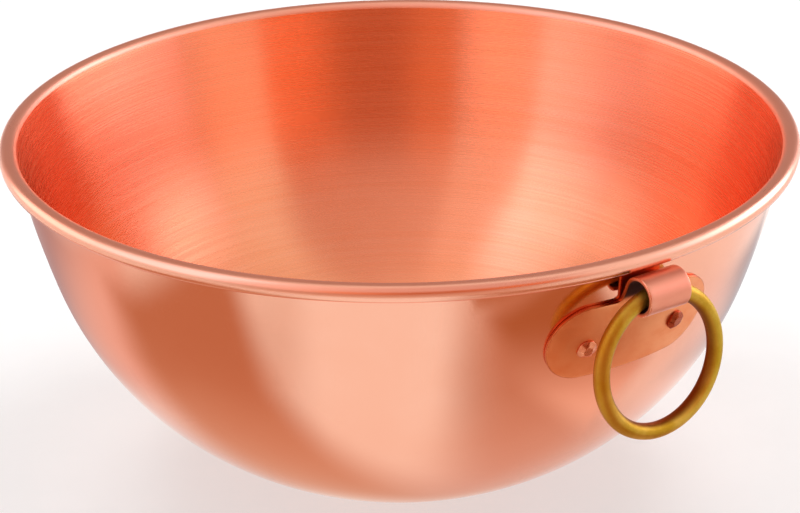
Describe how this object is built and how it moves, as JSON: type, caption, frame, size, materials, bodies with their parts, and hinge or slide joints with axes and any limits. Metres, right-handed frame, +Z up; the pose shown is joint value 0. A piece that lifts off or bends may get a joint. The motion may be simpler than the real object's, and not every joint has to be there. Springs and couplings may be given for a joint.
{
  "type": "beating bowl",
  "caption": "Round-bottomed copper bowl with a rolled rim and a loose brass ring in a riveted hanger, for beating egg whites or cooking jam by hand.",
  "frame": {"origin": "centre of the flat base, on the surface that the bowl stands on", "axes": "+Z up along the bowl's axis and out of its mouth, -Y towards the hanger and its ring"},
  "size_m": [0.26, 0.2668, 0.1179],
  "materials": {
    "bowl_copper": "copper, mirror polished outside and finely brushed inside",
    "hanger_copper": "copper sheet, satin",
    "rivet_copper": "copper, hammered heads",
    "ring_brass": "cast brass, satin",
    "wire_steel": "drawn steel wire"
  },
  "bodies": {
    "bowl": {"bowl": "bowl_copper", "rim_wire": "wire_steel", "hanger": "hanger_copper", "rivets": "rivet_copper"},
    "ring": {"ring": "ring_brass"}
  },
  "joints": [
    {"name": "ring_swing", "type": "hinge", "parent": "bowl", "child": "ring", "pos_m": [0, -0.1307, 0.10459], "axis": [-1, 0, 0], "range_deg": [-25, 170]}
  ]
}
